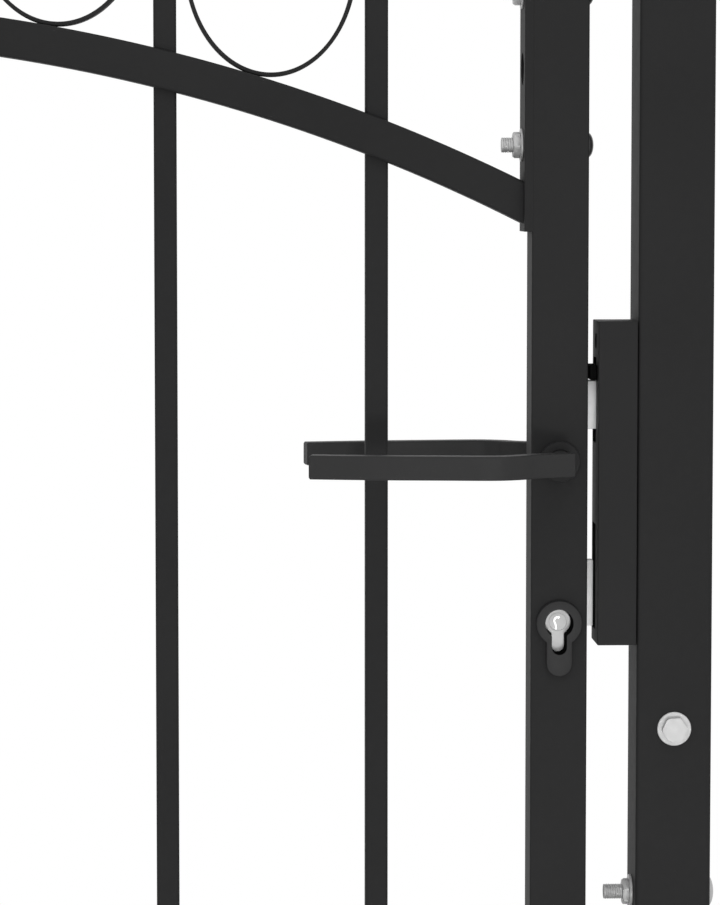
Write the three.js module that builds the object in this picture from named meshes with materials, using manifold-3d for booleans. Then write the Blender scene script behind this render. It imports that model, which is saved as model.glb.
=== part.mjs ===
// Arched garden gate: one welded leaf bolted between two stiles, hung between two square posts.
// Millimetres. X runs from the hinge post to the latch post, +Y points away from the street side, +Z is up.
// The origin is midway between the posts, at their feet.
import * as THREE from "three";
import { mergeVertices } from "three/addons/utils/BufferGeometryUtils.js";
import Module from "manifold-3d";

const wasm = await Module();
wasm.setup();

// ---- driving dimensions ----
const GAP = 0.3; // clearance between pieces that touch
const HANDLE_Z = 1400; // lever axis: 1 m above a ground line at 400

const LEAF_HALF = 445; // half the leaf's width
const STILE = 30;
const STILE_BOTTOM = 460;
const STILE_TOP = HANDLE_Z + 304;
const WALL = 1.5; // wall of stiles and posts

const POST = 40;
const POST_INNER = 471; // post face that looks at the leaf
const POST_TOP = 1740;
const SPLICE_Z = 1122; // seam between the post's two lengths
const SLEEVE_REACH = 160;
const SLEEVE_OVERLAP = 60;

const PANEL_TUBE = 20; // arches and bottom rail
const PANEL_WALL = 1.5;
const LOWER_ARCH = { radius: 923, centre: HANDLE_Z - 690.1 };
const UPPER_ARCH = { radius: 1015.4, centre: HANDLE_Z - 643.7 };
const RAIL_Z = 540;

const BAR = 12;
const BAR_WALL = 1.2;
const BAR_COUNT = 7;
const BAR_PITCH = (2 * LEAF_HALF) / (BAR_COUNT + 1);

const RING = { halfWidth: 45.4, halfHeight: 59, strip: 2.2, depth: 12 };

const PLATE = { thick: 4, wide: 30, face: 411 }; // end plates; face is the side towards the panel
const ARCH_PLATE = { bottom: HANDLE_Z + 121, top: HANDLE_Z + 297 };
const RAIL_PLATE = { bottom: RAIL_Z - 60, top: RAIL_Z + 60 };
const ARCH_BOLTS = [HANDLE_Z + 166.6, HANDLE_Z + 246.8];
const RAIL_BOLTS = [RAIL_Z - 40, RAIL_Z + 40];
const HOOK_HOLE = { z: HANDLE_Z + 206.7, radius: 8.5 };

const M8 = { shank: 4, hole: 4.3, hexAcross: 13, washer: 8.6, washerThick: 1.2 };

const LOCK_X = LEAF_HALF - STILE / 2; // lever and cylinder axes
const CYLINDER_Z = HANDLE_Z - 86;
const LATCH_Z = [HANDLE_Z + 16.6, HANDLE_Z + 42.1];
const DEADBOLT_Z = [HANDLE_Z - 88.8, HANDLE_Z - 53.6];
const CASE = { back: 417, halfDepth: 8.8, wall: 1.2, bottom: HANDLE_Z - 120, top: HANDLE_Z + 60 };
const FOREND = { thick: 2.2, halfWide: 11, bottom: HANDLE_Z - 132, top: HANDLE_Z + 72 };

const KEEP = { face: 450, front: -20, rear: 10, bottom: HANDLE_Z - 97.4, top: HANDLE_Z + 74.1 };

const HINGE = { x: -458, y: 11, zs: [700, 1450], pin: 4.8, barrel: 8, tall: 40 };

const COLOURS = {
  powder: new THREE.MeshStandardMaterial({ color: 0x2b2b2b, roughness: 0.55, metalness: 0.1 }),
  lever: new THREE.MeshStandardMaterial({ color: 0x333333, roughness: 0.45, metalness: 0.1 }),
  zinc: new THREE.MeshStandardMaterial({ color: 0xb9bab8, roughness: 0.4, metalness: 0.8 }),
  steel: new THREE.MeshStandardMaterial({ color: 0xc2c2c0, roughness: 0.35, metalness: 0.8 }),
  nickel: new THREE.MeshStandardMaterial({ color: 0xcbc9c4, roughness: 0.3, metalness: 0.8 }),
  plastic: new THREE.MeshStandardMaterial({ color: 0x242424, roughness: 0.6, metalness: 0 }),
  rubber: new THREE.MeshStandardMaterial({ color: 0x0d0d0d, roughness: 0.85, metalness: 0 }),
};

const gate = new THREE.Group();

// ---- solids ----

// A closed geometry as a solid that can be joined and cut.
function solid(geometry) {
  const bare = geometry.index ? geometry.toNonIndexed() : geometry.clone();
  bare.deleteAttribute("normal");
  bare.deleteAttribute("uv");
  const merged = mergeVertices(bare, 1e-4);
  const vertProperties = new Float32Array(merged.attributes.position.array);
  const triVerts = new Uint32Array(merged.index.array);
  return new wasm.Manifold(new wasm.Mesh({ numProp: 3, vertProperties, triVerts }));
}

// Puts a solid in the gate as a named mesh.
function place(name, body, material) {
  const made = body.getMesh();
  const geometry = new THREE.BufferGeometry();
  const positions = new THREE.BufferAttribute(new Float32Array(made.vertProperties), 3);
  geometry.setAttribute("position", positions);
  geometry.setIndex(new THREE.BufferAttribute(new Uint32Array(made.triVerts), 1));
  geometry.computeVertexNormals();
  const mesh = new THREE.Mesh(geometry, material.clone());
  mesh.name = name;
  gate.add(mesh);
}

// A box from its low and high sides.
function block(x, y, z) {
  const box = new THREE.BoxGeometry(x[1] - x[0], y[1] - y[0], z[1] - z[0]);
  box.translate((x[0] + x[1]) / 2, (y[0] + y[1]) / 2, (z[0] + z[1]) / 2);
  return solid(box);
}

// A round bar from `from` to `to` along one axis, through the point `at` on the other two.
function round(axis, radius, from, to, at, sides = 12) {
  const bar = new THREE.CylinderGeometry(radius, radius, to - from, sides);
  return solid(along(axis, bar, (from + to) / 2, at));
}

// A hexagonal bar, placed as `round` is; `turn` is in degrees about its own axis.
function hexagon(axis, across, from, to, at, turn = 0) {
  const bar = new THREE.CylinderGeometry(across / Math.sqrt(3), across / Math.sqrt(3), to - from, 6);
  bar.rotateY(THREE.MathUtils.degToRad(turn));
  return solid(along(axis, bar, (from + to) / 2, at));
}

// Turns a shape made along Y to lie along the axis and moves it to its place.
function along(axis, geometry, middle, at) {
  if (axis === "x") geometry.rotateZ(-Math.PI / 2).translate(middle, at[0], at[1]);
  if (axis === "y") geometry.translate(at[0], middle, at[1]);
  if (axis === "z") geometry.rotateX(Math.PI / 2).translate(at[0], at[1], middle);
  return geometry;
}

// A square with rounded corners, centred on the origin.
function roundedSquare(size, radius) {
  const half = size / 2;
  const inner = half - radius;
  const shape = new THREE.Shape();
  shape.moveTo(half, -inner);
  shape.lineTo(half, inner);
  shape.absarc(inner, inner, radius, 0, Math.PI / 2);
  shape.lineTo(-inner, half);
  shape.absarc(-inner, inner, radius, Math.PI / 2, Math.PI);
  shape.lineTo(-half, -inner);
  shape.absarc(-inner, -inner, radius, Math.PI, 1.5 * Math.PI);
  shape.lineTo(inner, -half);
  shape.absarc(inner, -inner, radius, 1.5 * Math.PI, 2 * Math.PI);
  return shape;
}

// An upright square bar with rounded edges.
function squareBar(size, radius, x, y, bottom, top) {
  const settings = { depth: top - bottom, bevelEnabled: false, curveSegments: 1 };
  const bar = new THREE.ExtrudeGeometry(roundedSquare(size, radius), settings);
  return solid(bar.translate(x, y, bottom));
}

// An upright square tube, open at both ends.
function squareTube(size, wall, radius, x, y, bottom, top) {
  const bore = block(
    [x - size / 2 + wall, x + size / 2 - wall],
    [y - size / 2 + wall, y + size / 2 - wall],
    [bottom - 5, top + 5],
  );
  return squareBar(size, radius, x, y, bottom, top).subtract(bore);
}

// A flat outline in X and Z, carried along Y from `front` to `rear`.
function slab(shape, front, rear, segments = 5) {
  const settings = { depth: rear - front, bevelEnabled: false, curveSegments: segments };
  const cut = new THREE.ExtrudeGeometry(shape, settings);
  return solid(cut.rotateX(Math.PI / 2).translate(0, rear, 0));
}

// ---- infill panel ----

// The part of a circular band between two radii that lies within x = +-half.
function archBand(centre, inner, outer, half) {
  const shape = new THREE.Shape();
  const outerAngle = Math.asin(half / outer);
  const innerAngle = Math.asin(half / inner);
  const up = Math.PI / 2;
  shape.absarc(0, centre, outer, up - outerAngle, up + outerAngle, false);
  shape.lineTo(-half, centre + inner * Math.cos(innerAngle));
  shape.absarc(0, centre, inner, up + innerAngle, up - innerAngle, true);
  return shape;
}

// A curved square tube, open at its two ends.
function archTube(arch) {
  const half = PANEL_TUBE / 2;
  const bore = half - PANEL_WALL;
  const reach = PLATE.face - GAP;
  const outside = archBand(arch.centre, arch.radius - half, arch.radius + half, reach);
  const inside = archBand(arch.centre, arch.radius - bore, arch.radius + bore, reach + 10);
  return slab(outside, -half, half, 12).subtract(slab(inside, -bore, bore, 12));
}

function barX(number) {
  return (number - (BAR_COUNT + 1) / 2) * BAR_PITCH;
}

// The lower arch has a square hole for each bar that goes through it.
function addLowerArch() {
  let arch = archTube(LOWER_ARCH);
  const half = BAR / 2 + GAP;
  for (let number = 1; number <= BAR_COUNT; number += 1) {
    const x = barX(number);
    const z = LOWER_ARCH.centre + Math.sqrt(LOWER_ARCH.radius ** 2 - x ** 2);
    arch = arch.subtract(block([x - half, x + half], [-half, half], [z - 30, z + 30]));
  }
  place("lower_arch", arch, COLOURS.powder);
}

function addBottomRail() {
  const half = PANEL_TUBE / 2;
  const reach = PLATE.face - GAP;
  const outside = block([-reach, reach], [-half, half], [RAIL_Z - half, RAIL_Z + half]);
  const bore = half - PANEL_WALL;
  const inside = block([-reach - 5, reach + 5], [-bore, bore], [RAIL_Z - bore, RAIL_Z + bore]);
  place("bottom_rail", outside.subtract(inside), COLOURS.powder);
}

// Each bar stands on the bottom rail, goes through the lower arch and ends under the upper one.
function addBars() {
  const under = UPPER_ARCH.radius - PANEL_TUBE / 2 - GAP;
  const ceiling = slab(archBand(UPPER_ARCH.centre, under, under + 80, PLATE.face), -20, 20, 12);
  const bottom = RAIL_Z + PANEL_TUBE / 2 + GAP;
  for (let number = 1; number <= BAR_COUNT; number += 1) {
    const bar = squareTube(BAR, BAR_WALL, 1.5, barX(number), 0, bottom, HANDLE_Z + 365);
    place("bar_" + number, bar.subtract(ceiling), COLOURS.powder);
  }
}

// An oval ring stands on the lower arch in the middle of each bay between two bars.
function addRings() {
  for (let number = 1; number < BAR_COUNT; number += 1) {
    const x = barX(number + 0.5);
    const top = LOWER_ARCH.radius + PANEL_TUBE / 2;
    const rise = Math.sqrt(top ** 2 - x ** 2);
    const reach = Math.hypot(RING.halfHeight, (RING.halfWidth * x) / rise);
    const z = LOWER_ARCH.centre + rise + reach + GAP;
    const shape = new THREE.Shape();
    shape.absellipse(x, z, RING.halfWidth, RING.halfHeight, 0, 2 * Math.PI);
    const hole = new THREE.Path();
    hole.absellipse(x, z, RING.halfWidth - RING.strip, RING.halfHeight - RING.strip, 0, 2 * Math.PI);
    shape.holes.push(hole);
    place("ring_" + number, slab(shape, -RING.depth / 2, RING.depth / 2, 14), COLOURS.powder);
  }
}

// A flat bar with two bolt holes, welded across the ends of the panel's tubes.
function endPlate(side, span, bolts) {
  const x = [PLATE.face, PLATE.face + PLATE.thick - GAP].map((value) => side * value);
  const half = PLATE.wide / 2;
  let plate = block([Math.min(...x), Math.max(...x)], [-half, half], [span.bottom, span.top]);
  for (const z of bolts) plate = plate.subtract(round("x", M8.hole, ...through(side), [0, z]));
  return plate;
}

// The X range of a drill that passes the stile and its end plate.
function through(side) {
  return side > 0 ? [400, 460] : [-460, -400];
}

function addEndPlates() {
  for (const [side, end] of SIDES) {
    const hook = round("x", HOOK_HOLE.radius, ...through(side), [0, HOOK_HOLE.z]);
    const archPlate = endPlate(side, ARCH_PLATE, ARCH_BOLTS).subtract(hook);
    place("arch_end_plate_" + end, archPlate, COLOURS.powder);
    place("rail_end_plate_" + end, endPlate(side, RAIL_PLATE, RAIL_BOLTS), COLOURS.powder);
  }
}

// ---- stiles ----

const SIDES = [
  [1, "latch"],
  [-1, "hinge"],
];

function stile(side) {
  const x = side * (LEAF_HALF - STILE / 2);
  let tube = squareTube(STILE, WALL, 2, x, 0, STILE_BOTTOM, STILE_TOP);
  for (const z of [...ARCH_BOLTS, ...RAIL_BOLTS]) {
    tube = tube.subtract(round("x", M8.hole, ...through(side), [0, z]));
  }
  return tube;
}

// The latch stile also has a slot for the forend, and holes for the spindle and the cylinder.
function addStiles() {
  const half = FOREND.halfWide + GAP;
  const slot = block([LEAF_HALF - 4, LEAF_HALF + 2], [-half, half], [FOREND.bottom - GAP, FOREND.top + GAP]);
  const spindleHole = round("y", 6, -20, 20, [LOCK_X, HANDLE_Z]);
  const cylinderHole = slab(cylinderOutline(GAP), -20, 20);
  const latchStile = stile(1).subtract(slot).subtract(spindleHole).subtract(cylinderHole);
  place("latch_stile", latchStile, COLOURS.powder);
  place("hinge_stile", stile(-1), COLOURS.powder);
}

// A plastic cap: a plate with a pyramid top and a plug that goes into the tube.
function cap(size, x, top) {
  const plug = size - 2 * WALL - 2 * GAP;
  const plate = squareBar(size, 2, x, 0, top + GAP, top + 2.5);
  const insert = block([x - plug / 2, x + plug / 2], [-plug / 2, plug / 2], [top - 12, top + 1]);
  const corner = (size - 1) / Math.SQRT2;
  const pyramid = new THREE.CylinderGeometry(corner * 0.75, corner, 2, 4, 1);
  pyramid.rotateY(Math.PI / 4);
  return plate.add(insert).add(solid(along("z", pyramid, top + 3.3, [x, 0])));
}

function addCaps() {
  for (const [side, end] of SIDES) {
    place(end + "_stile_cap", cap(STILE, side * (LEAF_HALF - STILE / 2), STILE_TOP), COLOURS.plastic);
    place(end + "_post_cap", cap(POST, side * (POST_INNER + POST / 2), POST_TOP), COLOURS.plastic);
  }
}

// Half of a low dome, from its flat side at 0 to its top at `rise`, as a lathe profile.
function domeProfile(radius, rise) {
  const points = [new THREE.Vector2(0, -1)];
  points.push(new THREE.Vector2(radius, -1));
  for (let step = 0; step < 3; step += 1) {
    const angle = (step / 3) * (Math.PI / 2);
    points.push(new THREE.Vector2(radius * Math.cos(angle), rise * Math.sin(angle)));
  }
  points.push(new THREE.Vector2(0, rise));
  return points;
}

// A dome head whose flat side, at `seat`, looks at the tube; `out` is the side it bulges to.
function domeHead(out, radius, rise, seat, z) {
  const dome = new THREE.LatheGeometry(domeProfile(radius, rise), 14);
  dome.rotateZ(out > 0 ? -Math.PI / 2 : Math.PI / 2);
  const low = out > 0 ? [seat - 3, seat] : [seat, seat + 3];
  return solid(dome.translate(seat, 0, z)).subtract(block(low, [-12, 12], [z - 12, z + 12]));
}

// Bolt, washer and nut through a stile and its end plate: head outside, nut on the panel side.
function stileBolt(side, z) {
  const head = LEAF_HALF + GAP;
  const plateFace = PLATE.face - GAP;
  const nutFace = plateFace - M8.washerThick;
  const order = (low, high) => (side > 0 ? [low, high] : [-high, -low]);
  const shank = round("x", M8.shank, ...order(399.7, head + 0.5), [0, z]);
  const washer = round("x", M8.washer, ...order(nutFace, plateFace), [0, z]);
  const nut = hexagon("x", M8.hexAcross, ...order(nutFace - 4.2, nutFace + 0.5), [0, z], 20);
  const dome = domeHead(side, 6.6, 3.5, side * head, z);
  return shank.add(washer).add(nut).add(dome);
}

function addStileBolts() {
  for (const [side, end] of SIDES) {
    ARCH_BOLTS.forEach((z, row) => place(`arch_bolt_${end}_${row + 1}`, stileBolt(side, z), COLOURS.zinc));
    RAIL_BOLTS.forEach((z, row) => place(`rail_bolt_${end}_${row + 1}`, stileBolt(side, z), COLOURS.zinc));
  }
}

// ---- lock ----

// The cylinder's end view: a circle with a leg below it, grown all round by `extra`.
function cylinderOutline(extra = 0) {
  return keyholeOutline(7 + extra, 3.6 + extra, 16.3 + extra, 2.2 + extra);
}

// A circle on the cylinder's axis with a leg that reaches `drop` below it; `corner` rounds the leg's foot.
function keyholeOutline(radius, legHalf, drop, corner) {
  const shoulder = Math.asin(legHalf / radius);
  const down = -Math.PI / 2;
  const foot = CYLINDER_Z - drop + corner;
  const shape = new THREE.Shape();
  shape.absarc(LOCK_X, CYLINDER_Z, radius, down + shoulder, down - shoulder + 2 * Math.PI, false);
  shape.lineTo(LOCK_X - legHalf, foot);
  shape.absarc(LOCK_X - legHalf + corner, foot, corner, Math.PI, 1.5 * Math.PI, false);
  shape.absarc(LOCK_X + legHalf - corner, foot, corner, 1.5 * Math.PI, 2 * Math.PI, false);
  return shape;
}

// The case is an open-backed box inside the stile, closed in front by the forend, which fills the stile's slot.
function addLockCase() {
  const { back, halfDepth, wall, bottom, top } = CASE;
  const front = LEAF_HALF - 2;
  const shell = block([back, front + 0.5], [-halfDepth, halfDepth], [bottom, top]);
  const inner = halfDepth - wall;
  const hollow = block([back - 1, front], [-inner, inner], [bottom + wall, top - wall]);
  const { thick, halfWide } = FOREND;
  const forend = block([front, front + thick], [-halfWide, halfWide], [FOREND.bottom, FOREND.top]);
  const window = [front - 1, front + 4];
  const latchWindow = block(window, [-inner, inner], [LATCH_Z[0] - GAP, LATCH_Z[1] + GAP]);
  const deadboltWindow = block(window, [-4 - GAP, 4 + GAP], [DEADBOLT_Z[0] - GAP, DEADBOLT_Z[1] + GAP]);
  const spindleHole = round("y", 6, -20, 20, [LOCK_X, HANDLE_Z]);
  const lockCase = shell
    .subtract(hollow)
    .add(forend)
    .subtract(latchWindow)
    .subtract(deadboltWindow)
    .subtract(spindleHole)
    .subtract(slab(cylinderOutline(GAP), -20, 20));
  place("lock_case", lockCase, COLOURS.steel);
}

// The latch bolt has a bevel on its street side, which rides over the keep as the leaf closes.
function addLatchBolt() {
  const plan = new THREE.Shape();
  plan.moveTo(430, -7);
  plan.lineTo(450.8, -7);
  plan.lineTo(457, 2);
  plan.lineTo(457, 7);
  plan.lineTo(430, 7);
  const settings = { depth: LATCH_Z[1] - LATCH_Z[0], bevelEnabled: false };
  const bolt = new THREE.ExtrudeGeometry(plan, settings).translate(0, 0, LATCH_Z[0]);
  place("latch_bolt", solid(bolt), COLOURS.steel);
}

// The dead bolt is cut short at the bottom, where the cylinder is in its way.
function addDeadBolt() {
  const tip = 449.2;
  const upper = block([424, tip], [-4, 4], [HANDLE_Z - 76, DEADBOLT_Z[1]]);
  const lower = block([438, tip], [-4, 4], [DEADBOLT_Z[0], HANDLE_Z - 75]);
  place("dead_bolt", upper.add(lower), COLOURS.steel);
}

// A square bar through the stile, with the round follower that draws the latch.
function addSpindle() {
  const half = 4;
  const bar = block([LOCK_X - half, LOCK_X + half], [-30, 30], [HANDLE_Z - half, HANDLE_Z + half]);
  const follower = round("y", 7.5, -7, 7, [LOCK_X, HANDLE_Z]);
  place("spindle", bar.add(follower), COLOURS.steel);
}

// Plan of a lever: a flat bar of even thickness along a curve that bows away from the gate.
function leverPlan(thick) {
  const line = [
    [434, -38.2],
    [424, -42.5],
    [412, -48.5],
    [403, -56],
    [391, -60],
    [364, -57.4],
    [330, -53.6],
    [297.3, -47],
  ];
  const curve = new THREE.SplineCurve(line.map(([x, y]) => new THREE.Vector2(x, y)));
  const steps = 20;
  const sides = [[], []];
  for (let step = 0; step <= steps; step += 1) {
    const point = curve.getPoint(step / steps);
    const tangent = curve.getTangent(step / steps);
    const offset = new THREE.Vector2(-tangent.y, tangent.x).multiplyScalar(thick / 2);
    sides[0].push(point.clone().add(offset));
    sides[1].push(point.clone().sub(offset));
  }
  return new THREE.Shape([...sides[0], ...sides[1].reverse()]);
}

// The street-side lever: a bowed grip on a round neck with a square socket for the spindle.
function lever() {
  const tall = 12.5;
  const settings = { depth: tall, bevelEnabled: false };
  const grip = new THREE.ExtrudeGeometry(leverPlan(9.6), settings).translate(0, 0, HANDLE_Z - tall / 2);
  const neck = round("y", 6.2, -39, -16, [LOCK_X, HANDLE_Z]);
  const half = 4 + GAP;
  const socket = block([LOCK_X - half, LOCK_X + half], [-30 - GAP, -10], [HANDLE_Z - half, HANDLE_Z + half]);
  return solid(grip).add(neck).subtract(socket);
}

function addLevers() {
  const rose = round("y", 10.7, -20, -STILE / 2 - GAP, [LOCK_X, HANDLE_Z], 24).subtract(
    round("y", 6.2 + GAP, -30, 0, [LOCK_X, HANDLE_Z]),
  );
  place("front_lever", lever(), COLOURS.lever);
  place("rear_lever", lever().mirror([0, 1, 0]), COLOURS.lever);
  place("front_rose", rose, COLOURS.lever);
  place("rear_rose", rose.mirror([0, 1, 0]), COLOURS.lever);
}

// The cylinder body runs through the case; its plug, with a keyway at each end, turns in it.
function addCylinder() {
  const half = CASE.halfDepth;
  const axis = [LOCK_X, CYLINDER_Z];
  const body = slab(cylinderOutline(), -half, half).subtract(round("y", 4.8 + GAP, -20, 20, axis, 16));
  place("lock_cylinder", body, COLOURS.nickel);
  let plug = round("y", 4.8, -half, half, axis, 16);
  for (const end of [-1, 1]) {
    const y = end < 0 ? [-half - 1, -half + 6] : [half - 6, half + 1];
    plug = plug.subtract(block([LOCK_X - 0.9, LOCK_X + 0.9], y, [CYLINDER_Z - 3.6, CYLINDER_Z + 3.2]));
  }
  place("cylinder_plug", plug, COLOURS.nickel);
}

// A keyhole-shaped plate round the cylinder, on the front and the rear of the stile.
function addEscutcheons() {
  const front = slab(keyholeOutline(12, 6.75, 28, 6.7), -18.3, -STILE / 2 - GAP, 8).subtract(
    slab(cylinderOutline(0.4), -30, 0),
  );
  place("front_escutcheon", front, COLOURS.lever);
  place("rear_escutcheon", front.mirror([0, 1, 0]), COLOURS.lever);
}

// ---- keep ----

// A moulded block on the post with two pockets for the bolts. The rear side has a slot at the latch bolt's
// height, so that the leaf swings away from the street; the dead bolt at rest is clear of the block.
function addKeep() {
  const back = POST_INNER - GAP;
  const { face, front, rear, bottom, top } = KEEP;
  const deep = [face - 1, 466];
  const latchPocket = block(deep, [-8, 7.5], [HANDLE_Z + 8.9, HANDLE_Z + 54.5]);
  const deadboltPocket = block(deep, [-8, 7.5], [HANDLE_Z - 90.4, HANDLE_Z - 34]);
  const latchSlot = block(deep, [0, rear + 1], [LATCH_Z[0] - 0.8, LATCH_Z[1] + 0.4]);
  const keep = block([face, back], [front, rear], [bottom, top])
    .subtract(latchPocket)
    .subtract(deadboltPocket)
    .subtract(latchSlot)
    .subtract(round("x", 4.2, face - 1, face + 16, [-5, HANDLE_Z + 63.2]))
    .subtract(round("x", 2.3, face, back + 1, [-5, HANDLE_Z + 63.2]))
    .subtract(round("x", 2.3, face, back + 1, [-2, HANDLE_Z - 44]));
  place("keep_body", keep, COLOURS.plastic);
}

// A rubber stop in the top of the latch pocket.
function addBumper() {
  const z = [HANDLE_Z + 42.9, HANDLE_Z + 50.7];
  const pad = block([446.1, KEEP.face - GAP], [-14, 7], z);
  const stem = block([448, 465.7], [-7.7, 7], z);
  place("keep_bumper", pad.add(stem), COLOURS.rubber);
}

// ---- hinges ----

// A bracket on the post with a shelf and an upright pin, and the barrel on the stile that drops over it.
function addHinges() {
  const { x, y, pin, barrel, tall } = HINGE;
  const postFace = -POST_INNER + GAP;
  const stileFace = -LEAF_HALF - GAP;
  HINGE.zs.forEach((z, row) => {
    const level = row === 0 ? "lower" : "upper";
    const plate = block([postFace, postFace + 3], [y - 20, y + 8], [z - 14, z + 40]);
    const shelf = block([postFace, x], [y - barrel, y + barrel], [z - 6, z - GAP]);
    const shelfEnd = round("z", barrel, z - 6, z - GAP, [x, y], 16);
    const pinBar = round("z", pin, z - 3, z + tall + 4, [x, y], 16);
    place("hinge_bracket_" + level, plate.add(shelf).add(shelfEnd).add(pinBar), COLOURS.powder);
    const tube = round("z", barrel, z, z + tall, [x, y], 16);
    const web = block([x, stileFace], [y - 3, y + 3], [z, z + tall]);
    const pad = block([stileFace - 3, stileFace], [y - 15, y + 4], [z - 5, z + tall + 5]);
    const bore = round("z", pin + GAP, z - 10, z + tall + 10, [x, y], 16);
    place("hinge_knuckle_" + level, tube.add(web).add(pad).subtract(bore), COLOURS.powder);
  });
}

// ---- posts ----

const FRONT_BOLT_Z = HANDLE_Z - 142;
const SIDE_BOLT_Z = HANDLE_Z - 233;

// Drills both splice bolts' holes through a post length.
function drillPost(length, x) {
  return length
    .subtract(round("y", M8.hole, -30, 30, [x, FRONT_BOLT_Z]))
    .subtract(round("x", M8.hole, x - 30, x + 30, [0, SIDE_BOLT_Z]));
}

// The lower length carries a sleeve that goes up into the upper length.
function postLower(x) {
  const sleeve = POST - 2 * WALL - 2 * GAP;
  const sleeveBore = sleeve / 2 - WALL;
  const tubeBore = POST / 2 - WALL;
  const sleeveTop = SPLICE_Z + SLEEVE_REACH;
  const overlapBottom = SPLICE_Z - SLEEVE_OVERLAP;
  return squareBar(POST, 2, x, 0, 0, SPLICE_Z)
    .add(squareBar(sleeve, 1, x, 0, overlapBottom, sleeveTop))
    .subtract(block([x - sleeveBore, x + sleeveBore], [-sleeveBore, sleeveBore], [-5, sleeveTop + 5]))
    .subtract(block([x - tubeBore, x + tubeBore], [-tubeBore, tubeBore], [-5, overlapBottom]));
}

function addPosts() {
  for (const [side, end] of SIDES) {
    const x = side * (POST_INNER + POST / 2);
    const upper = squareTube(POST, WALL, 2, x, 0, SPLICE_Z + GAP, POST_TOP);
    place(end + "_post_upper", drillPost(upper, x), COLOURS.powder);
    place(end + "_post_lower", drillPost(postLower(x), x), COLOURS.powder);
  }
}

// The splice bolt from the street side: hexagon head on a flange in front, nut behind.
function frontBolt(x) {
  const face = POST / 2 + GAP;
  const at = [x, FRONT_BOLT_Z];
  return round("y", M8.shank, -face - 1, face + 14, at)
    .add(round("y", 9, -face - 1.6, -face, at))
    .add(hexagon("y", M8.hexAcross, -face - 6.4, -face - 1, at, 25))
    .add(round("y", M8.washer, face, face + M8.washerThick, at))
    .add(hexagon("y", M8.hexAcross, face + 1, face + 7.4, at, 10));
}

// The splice bolt from the side: dome head on the outside, nut and free end towards the leaf.
function sideBolt(side) {
  const order = (low, high) => (side > 0 ? [low, high] : [-high, -low]);
  const outer = POST_INNER + POST + GAP;
  const inner = POST_INNER - GAP;
  const at = [0, SIDE_BOLT_Z];
  return round("x", M8.shank, ...order(456, outer + 0.5), at)
    .add(round("x", 9, ...order(inner - 1.6, inner), at))
    .add(hexagon("x", M8.hexAcross, ...order(inner - 4.8, inner - 1), at, 20))
    .add(domeHead(side, 8.6, 4, side * outer, SIDE_BOLT_Z));
}

function addPostBolts() {
  for (const [side, end] of SIDES) {
    place(end + "_post_front_bolt", frontBolt(side * (POST_INNER + POST / 2)), COLOURS.zinc);
    place(end + "_post_side_bolt", sideBolt(side), COLOURS.zinc);
  }
}

addStiles();
addCaps();
addLowerArch();
place("upper_arch", archTube(UPPER_ARCH), COLOURS.powder);
addBottomRail();
addBars();
addRings();
addEndPlates();
addStileBolts();
addLockCase();
addLatchBolt();
addDeadBolt();
addSpindle();
addLevers();
addCylinder();
addEscutcheons();
addKeep();
addBumper();
addHinges();
addPosts();
addPostBolts();

export default gate;
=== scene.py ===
"""Arched garden gate: a barred steel leaf with oval rings, hung between two square posts.

Metres. X runs from the hinge post to the latch post, +Y points away from the street side, +Z is up.
"""
from math import pi, radians

import bmesh
import bpy
import numpy as np
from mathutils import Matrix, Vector


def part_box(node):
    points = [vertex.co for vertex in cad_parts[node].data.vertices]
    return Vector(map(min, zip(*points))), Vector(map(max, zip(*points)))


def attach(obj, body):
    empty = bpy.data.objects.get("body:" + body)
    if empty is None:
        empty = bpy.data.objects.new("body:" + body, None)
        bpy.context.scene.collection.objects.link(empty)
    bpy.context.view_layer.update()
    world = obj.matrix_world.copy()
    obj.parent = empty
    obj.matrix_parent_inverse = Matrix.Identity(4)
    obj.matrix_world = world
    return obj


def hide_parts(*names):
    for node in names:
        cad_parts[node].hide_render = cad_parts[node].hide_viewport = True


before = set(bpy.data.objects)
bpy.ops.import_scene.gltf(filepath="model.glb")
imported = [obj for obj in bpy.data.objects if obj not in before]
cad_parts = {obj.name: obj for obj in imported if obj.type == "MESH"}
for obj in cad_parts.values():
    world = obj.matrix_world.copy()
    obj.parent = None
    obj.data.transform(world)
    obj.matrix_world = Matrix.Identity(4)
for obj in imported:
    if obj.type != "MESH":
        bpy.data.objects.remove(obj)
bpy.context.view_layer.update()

# ---- Camera, floor and light ------------------------------------------------------------------------------
# The gate is seen from the street side, a little above lever height, close to the lock. It stands on a pale
# floor in a white studio, with soft lights on the hinge side, overhead, and low in front.
lever_low, lever_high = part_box("front_lever")
handle_z = (lever_low[2] + lever_high[2]) / 2
eye = Vector((0.2473, -1.865, handle_z + 0.142))
aim = Vector((0.3245, -0.015, handle_z + 0.0050))

camera_data = bpy.data.cameras.new("camera")
camera_data.lens = 140.2
camera = bpy.data.objects.new("camera", camera_data)
camera.location = eye
camera.rotation_euler = (aim - eye).to_track_quat("-Z", "Y").to_euler()
bpy.context.collection.objects.link(camera)
bpy.context.scene.camera = camera
bpy.context.scene.view_settings.view_transform = "Standard"

world = bpy.data.worlds.new("studio")
world.use_nodes = True
world.node_tree.nodes["Background"].inputs["Color"].default_value = (1, 1, 1, 1)
world.node_tree.nodes["Background"].inputs["Strength"].default_value = 1.0
bpy.context.scene.world = world


def soft_light(name, place, target, size, power):
    """A square lamp of that size, in metres, which looks from its place at the target."""
    lamp_data = bpy.data.lights.new(name, "AREA")
    lamp_data.size = size
    lamp_data.energy = power
    lamp = bpy.data.objects.new(name, lamp_data)
    lamp.location = place
    lamp.rotation_euler = (Vector(target) - Vector(place)).to_track_quat("-Z", "Y").to_euler()
    bpy.context.collection.objects.link(lamp)


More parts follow.
